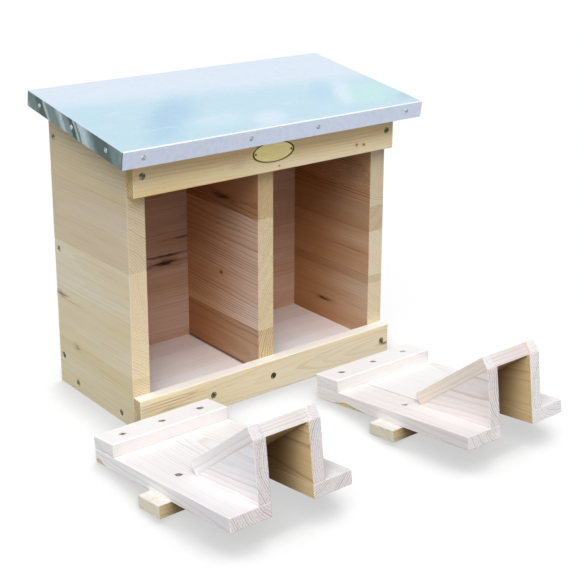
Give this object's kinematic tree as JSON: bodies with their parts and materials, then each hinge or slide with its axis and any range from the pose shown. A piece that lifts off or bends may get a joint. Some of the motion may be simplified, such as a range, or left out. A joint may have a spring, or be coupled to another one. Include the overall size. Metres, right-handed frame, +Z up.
{
  "type": "bird nest box",
  "caption": "Twin wooden nest box with open front chambers under a pitched galvanised roof, shown with its tunnelled front inserts taken out and lying before it.",
  "frame": {"origin": "middle of the box's underside, on the ground", "axes": "+Z up, +Y from the open front to the back, +X to the right seen from the front"},
  "size_m": [0.4252, 0.4208, 0.3221],
  "materials": {
    "spruce": "planed, untreated",
    "pine": "planed, untreated",
    "pale_pine": "planed, untreated",
    "perch_pine": "planed, untreated",
    "galvanised": "spangled zinc",
    "nail_steel": "zinc plated",
    "screw_zinc": "yellow passivated",
    "plate_brass": "satin"
  },
  "bodies": {
    "box": {"left_side_wall": "spruce", "right_side_wall": "spruce", "divider": "spruce", "back_panel": "spruce", "floor_board": "spruce", "roof_board": "spruce", "top_rail": "pine", "bottom_rail": "pine", "left_wall_screws": "screw_zinc", "right_wall_screws": "screw_zinc", "top_rail_screws": "screw_zinc", "bottom_rail_screws": "screw_zinc", "divider_screws": "screw_zinc", "roof_screws": "screw_zinc", "roof_sheet": "galvanised", "roof_nails": "nail_steel", "name_plate": "plate_brass"},
    "left_insert": {"left_insert_board": "pale_pine", "left_foot_batten": "pale_pine", "left_left_cheek": "pale_pine", "left_right_cheek": "pale_pine", "left_ramp_strips": "pale_pine", "left_ramp_board": "pale_pine", "left_perch_bar": "perch_pine", "left_foot_screws": "screw_zinc", "left_perch_screws": "screw_zinc", "left_cheek_screws": "screw_zinc", "left_ramp_nails": "nail_steel"},
    "right_insert": {"right_insert_board": "pale_pine", "right_foot_batten": "pale_pine", "right_left_cheek": "pale_pine", "right_right_cheek": "pale_pine", "right_ramp_strips": "pale_pine", "right_ramp_board": "pale_pine", "right_perch_bar": "perch_pine", "right_foot_screws": "screw_zinc", "right_perch_screws": "screw_zinc", "right_cheek_screws": "screw_zinc", "right_ramp_nails": "nail_steel"}
  },
  "joints": [
    {"name": "left_insert_tip", "type": "hinge", "parent": "box", "child": "left_insert", "pos_m": [-0.161, -0.108, 0], "axis": [-1, 0, 0], "range_deg": [0, 35]},
    {"name": "right_insert_tip", "type": "hinge", "parent": "box", "child": "right_insert", "pos_m": [0.091, -0.1295, 0], "axis": [-1, 0, 0], "range_deg": [0, 70]}
  ]
}
